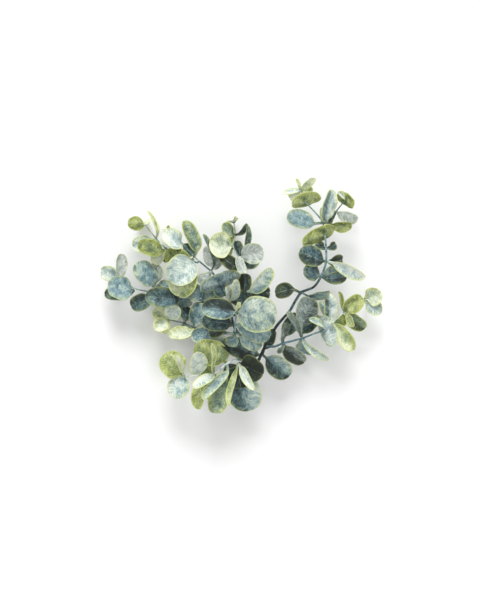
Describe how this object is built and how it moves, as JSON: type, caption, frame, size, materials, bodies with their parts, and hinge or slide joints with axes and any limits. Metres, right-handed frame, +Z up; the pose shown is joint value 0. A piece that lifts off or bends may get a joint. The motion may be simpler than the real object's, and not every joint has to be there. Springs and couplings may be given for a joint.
{
  "type": "eucalyptus branch",
  "caption": "Cut branch of round-leaved eucalyptus lying on its side, with slim forking stems and paired frosted blue-green leaves edged in yellow-green.",
  "frame": {"origin": "the middle of the patch that the branch covers, at the height of the surface it lies on", "axes": "+Z is up from the surface, +X runs from the left-hand spray to the right-hand spray, +Y runs from the cut end of the main stem to the tips of the upper sprays"},
  "size_m": [0.2848, 0.238, 0.09],
  "materials": {
    "leaf_blue": "slate blue-green with a whitish bloom, yellow-green rim and fine pale veins, matt",
    "leaf_deep": "dark grey-green with a bluish bloom and a thin yellow-green rim, matt",
    "leaf_pale": "pale mint with mottled blue-white bloom, yellow-green rim and fine veins, matt",
    "leaf_lime": "young leaf, yellow-green to pale yellow with a bluish middle, matt",
    "leaf_olive": "olive green with a yellow-green rim and a bluish base, matt",
    "leaf_grey": "lower face, pale warm grey-green with darker veins, matt",
    "stem": "thin blue-grey bark under a whitish bloom, matt, with brown on the cut end"
  },
  "bodies": {
    "root": {"main_stem": "stem", "main_fork_stem": "stem", "right_stem": "stem", "high_left_stem": "stem", "high_left_fork_stem": "stem", "middle_stem": "stem", "left_stem": "stem", "near_left_stem": "stem", "top_stem": "stem", "low_left_stem": "stem", "main_leaves_1": "leaf_deep", "main_leaves_2": "leaf_deep", "main_leaves_3": "leaf_deep", "main_leaves_4": "leaf_deep", "main_leaves_5": "leaf_deep", "main_leaves_6": "leaf_olive", "main_leaves_7": "leaf_olive", "main_leaves_8": "leaf_olive", "main_leaves_9": "leaf_pale", "main_fork_leaves_1": "leaf_pale", "main_fork_leaves_2": "leaf_grey", "main_fork_leaves_3": "leaf_olive", "right_leaves_1": "leaf_grey", "right_leaves_2": "leaf_grey", "right_leaves_3": "leaf_pale", "right_leaves_4": "leaf_lime", "right_leaves_5": "leaf_lime", "right_leaves_6": "leaf_lime", "high_left_leaves_1": "leaf_blue", "high_left_leaves_2": "leaf_blue", "high_left_leaves_3": "leaf_grey", "high_left_leaves_4": "leaf_pale", "high_left_leaves_5": "leaf_pale", "high_left_leaves_6": "leaf_lime", "high_left_fork_leaves_1": "leaf_olive", "high_left_fork_leaves_2": "leaf_lime", "high_left_fork_leaves_3": "leaf_olive", "middle_leaves_1": "leaf_grey", "middle_leaves_2": "leaf_deep", "middle_leaves_3": "leaf_grey", "middle_leaves_4": "leaf_lime", "middle_leaves_5": "leaf_blue", "middle_leaves_6": "leaf_olive", "left_leaves_1": "leaf_blue", "left_leaves_2": "leaf_deep", "left_leaves_3": "leaf_blue", "left_leaves_4": "leaf_blue", "left_leaves_5": "leaf_pale", "near_left_leaves_1": "leaf_deep", "near_left_leaves_2": "leaf_blue", "near_left_leaves_3": "leaf_deep", "near_left_leaves_4": "leaf_pale", "top_leaves_1": "leaf_blue", "top_leaves_2": "leaf_blue", "top_leaves_3": "leaf_pale", "low_left_leaves_1": "leaf_blue", "low_left_leaves_2": "leaf_olive", "low_left_leaves_3": "leaf_lime", "low_left_leaves_4": "leaf_pale", "low_left_leaves_5": "leaf_lime"}
  },
  "joints": []
}
